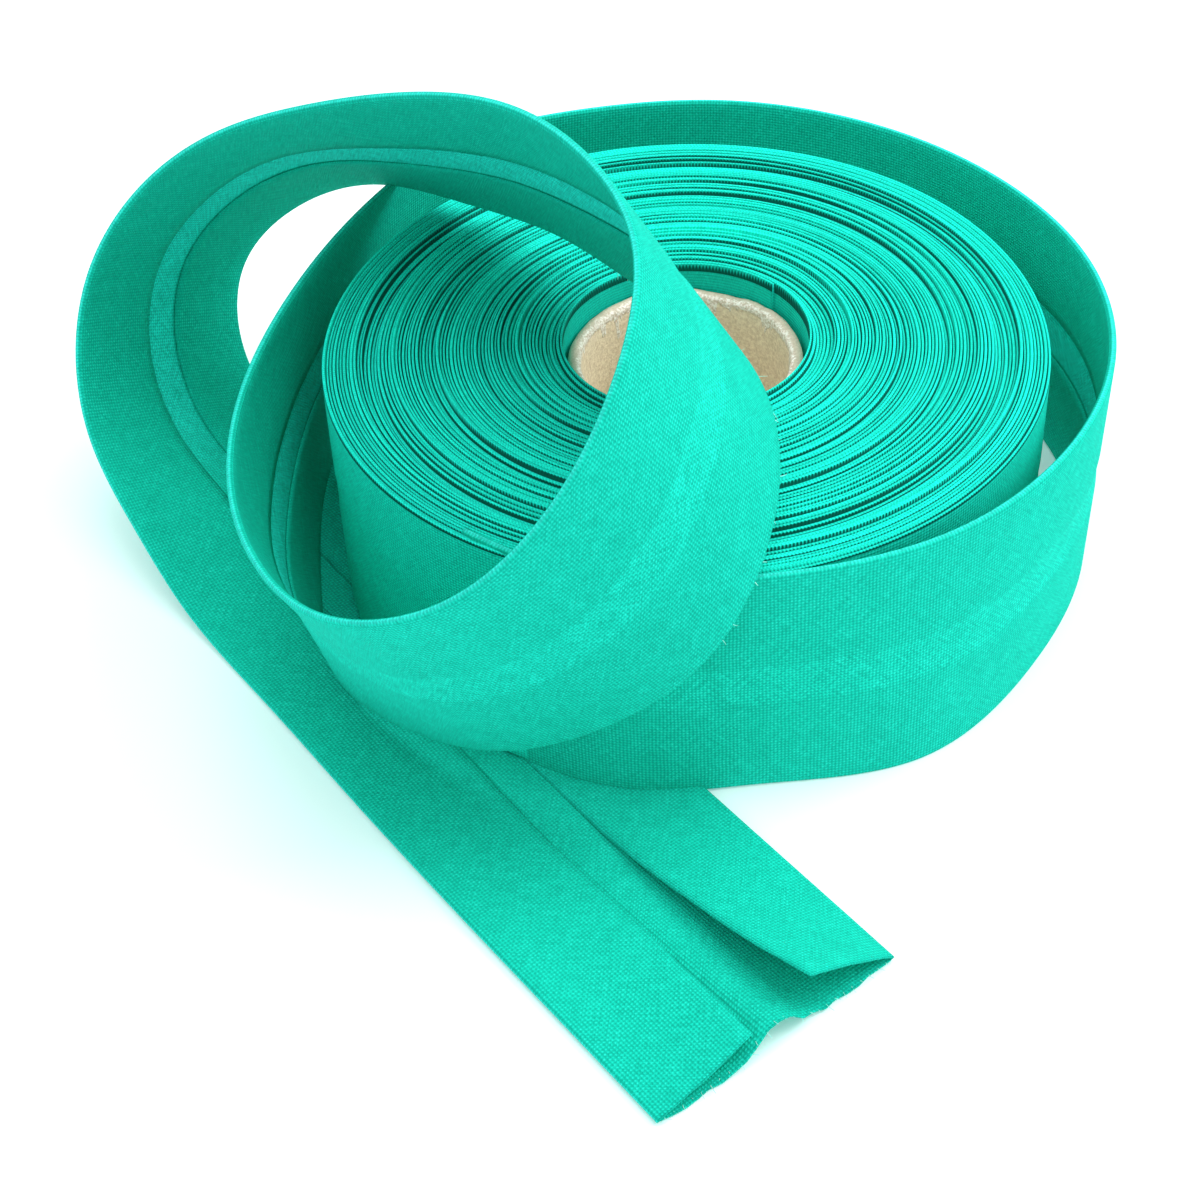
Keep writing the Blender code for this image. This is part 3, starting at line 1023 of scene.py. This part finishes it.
@dataclass
class Studio:
    """The white table, the soft lights and the camera."""

    axis: Vector
    lens: float = 69.08
    eye: tuple[float, float, float] = (0.0, -0.27376, 0.24184)
    pitch: float = 0.748
    yaw: float = -0.0522
    roll: float = -0.0476
    table: float = 30.0
    horizon: float = 0.38
    zenith: float = 1.42

    def camera(self) -> None:
        """Set the camera up."""
        data = bpy.data.cameras.new("camera")
        data.lens = self.lens
        data.sensor_width = 36.0
        camera = bpy.data.objects.new("camera", data)
        bpy.context.scene.collection.objects.link(camera)
        cp, sp = math.cos(self.pitch), math.sin(self.pitch)
        cy, sy = math.cos(self.yaw), math.sin(self.yaw)
        ahead = Vector((sy * cp, cy * cp, -sp))
        right = Vector((cy, -sy, 0.0))
        up = right.cross(ahead)
        c, s = math.cos(self.roll), math.sin(self.roll)
        x = c * right + s * up
        y = -s * right + c * up
        turn = Matrix((x, y, -ahead)).transposed().to_4x4()
        camera.matrix_world = Matrix.Translation(self.axis + Vector(self.eye)) @ turn
        bpy.context.scene.camera = camera

    def lamp(self, name: str, place: Vector, size: float, power: float) -> None:
        """Add one soft square light that faces the roll."""
        data = bpy.data.lights.new(name, "AREA")
        data.shape = "SQUARE"
        data.size = size
        data.energy = power
        lamp = bpy.data.objects.new(name, data)
        bpy.context.scene.collection.objects.link(lamp)
        turn = (-place).to_track_quat("-Z", "Y").to_matrix().to_4x4()
        lamp.matrix_world = Matrix.Translation(self.axis + place) @ turn

    def build(self) -> None:
        """Lay the table and light it."""
        bm = bmesh.new()
        bmesh.ops.create_grid(bm, x_segments=1, y_segments=1, size=self.table)
        mesh = bpy.data.meshes.new("table")
        bm.to_mesh(mesh)
        bm.free()
        table = bpy.data.objects.new("table", mesh)
        bpy.context.scene.collection.objects.link(table)
        n = Nodes("white_table")
        shader = n.add("ShaderNodeBsdfPrincipled")
        shader.inputs["Base Color"].default_value = (0.86, 0.97, 0.98, 1)
        shader.inputs["Roughness"].default_value = 0.9
        shader.inputs["Specular IOR Level"].default_value = 0.1
        shader.inputs["Emission Color"].default_value = (0.6, 1.0, 1.0, 1)
        shader.inputs["Emission Strength"].default_value = 0.14
        out = n.add("ShaderNodeOutputMaterial")
        n.plug(shader, out.inputs[0])
        mesh.materials.append(n.material)
        world = bpy.data.worlds.new("studio")
        bpy.context.scene.world = world
        world.use_nodes = True
        tree = world.node_tree
        way = tree.nodes.new("ShaderNodeTexCoord")
        split = tree.nodes.new("ShaderNodeSeparateXYZ")
        ceiling = tree.nodes.new("ShaderNodeMapRange")
        for socket, value in zip(list(ceiling.inputs)[1:5], (0.0, 1.0, self.horizon, self.zenith)):
            socket.default_value = value
        skirting = tree.nodes.new("ShaderNodeMapRange")
        for socket, value in zip(list(skirting.inputs)[1:5], (0.01, 0.03, 1.0, 0.0)):
            socket.default_value = value
        brighter = tree.nodes.new("ShaderNodeMath")
        brighter.operation = "MAXIMUM"
        tree.links.new(way.outputs["Generated"], split.inputs[0])
        tree.links.new(split.outputs[2], ceiling.inputs[0])
        tree.links.new(split.outputs[2], skirting.inputs[0])
        tree.links.new(ceiling.outputs[0], brighter.inputs[0])
        tree.links.new(skirting.outputs[0], brighter.inputs[1])
        tree.links.new(brighter.outputs[0], tree.nodes["Background"].inputs[1])
        tree.nodes["Background"].inputs[0].default_value = (1, 1, 1, 1)
        self.lamp("key", Vector((0.75, 0.2, 0.75)), 0.6, 6.0)
        self.lamp("top", Vector((0.05, 0.05, 1.1)), 0.5, 2.5)
        bpy.context.scene.view_settings.view_transform = "Standard"


def main() -> None:
    """Build every piece in order."""
    logging.basicConfig(level=logging.INFO, format="%(message)s")
    LOG.info("dressing %d nodes", len(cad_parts))
    low, high = (Vector(corner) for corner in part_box("core_tube"))
    axis = Vector(((low.x + high.x) / 2, (low.y + high.y) / 2, 0.0))
    studio = Studio(axis)
    studio.camera()
    studio.build()
    cotton = BiasCotton()
    tape = LooseTape(axis)
    outer = cotton.make("cotton_outer", Side.OUTER)
    inner = cotton.make("cotton_inner", Side.INNER)
    for piece in (
        CoreTube(axis).build(KraftBoard().make("kraft_board", axis)),
        WoundRoll(axis).build(cotton.make("cotton_wound", Side.WOUND, 0.9)),
        tape.build(outer, inner),
        LooseFibres().cloth(tape, cotton.fibre("cotton_fibre")),
    ):
        LOG.info("built %s with %d faces", piece.name, len(piece.data.polygons))


if __name__ == "__main__":
    main()
